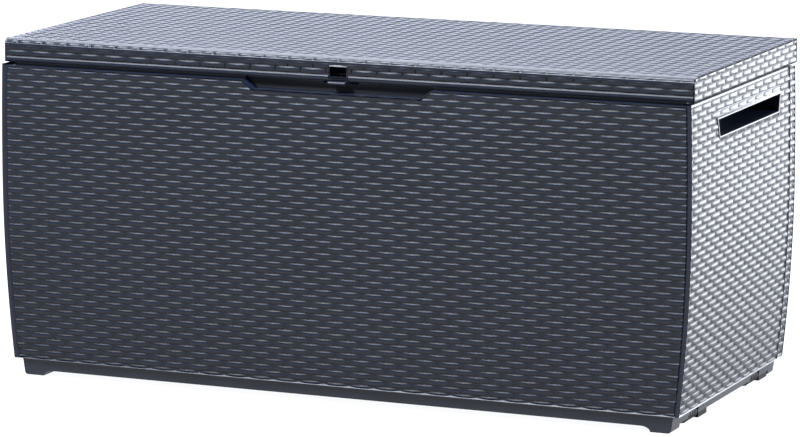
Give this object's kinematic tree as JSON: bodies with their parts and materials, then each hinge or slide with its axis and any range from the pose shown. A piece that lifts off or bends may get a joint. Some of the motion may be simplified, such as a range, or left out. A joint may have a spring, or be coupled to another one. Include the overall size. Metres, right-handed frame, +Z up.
{
  "type": "deck storage box",
  "caption": "Long woven-look resin deck box with a flat hinged lid, a hand pocket in each end, a padlock window at the front and rollers under one end.",
  "frame": {"origin": "on the floor, under the middle of the closed box's outer box", "axes": "+X along the length towards the roller end, +Y from the front to the hinged back, +Z up"},
  "size_m": [1.2356, 0.532, 0.576],
  "materials": {
    "resin_woven": "injection-moulded polypropylene with a rattan weave relief, graphite",
    "resin_smooth": "injection-moulded polypropylene, fine spark texture, graphite",
    "black_resin": "injection-moulded nylon, black",
    "plated_steel": "zinc-plated"
  },
  "bodies": {
    "box": {"base_tray": "resin_smooth", "front_panel": "resin_woven", "back_panel": "resin_woven", "end_panel_left": "resin_woven", "end_panel_right": "resin_woven", "lock_tab": "resin_smooth", "hinge_pin_left": "black_resin", "hinge_pin_middle": "black_resin", "hinge_pin_right": "black_resin", "roller_bracket_front": "black_resin", "roller_bracket_rear": "black_resin", "axle_front": "plated_steel", "axle_rear": "plated_steel", "corner_screws": "plated_steel", "base_screws": "plated_steel", "lock_screws": "plated_steel", "bracket_screws": "plated_steel"},
    "lid": {"lid_shell": "resin_woven", "lid_liner": "resin_smooth", "lock_insert": "resin_smooth", "lid_screws": "plated_steel", "insert_screws": "plated_steel"},
    "front_roller": {"roller_front": "black_resin"},
    "rear_roller": {"roller_rear": "black_resin"}
  },
  "joints": [
    {"name": "lid_hinge", "type": "hinge", "parent": "box", "child": "lid", "pos_m": [0, 0.255, 0.548], "axis": [-1, 0, 0], "range_deg": [0, 100]},
    {"name": "front_roller_spin", "type": "hinge", "parent": "box", "child": "front_roller", "pos_m": [0.5725, -0.155, 0.012], "axis": [0, 1, 0], "continuous": true},
    {"name": "rear_roller_spin", "type": "hinge", "parent": "box", "child": "rear_roller", "pos_m": [0.5725, 0.155, 0.012], "axis": [0, 1, 0], "continuous": true}
  ]
}
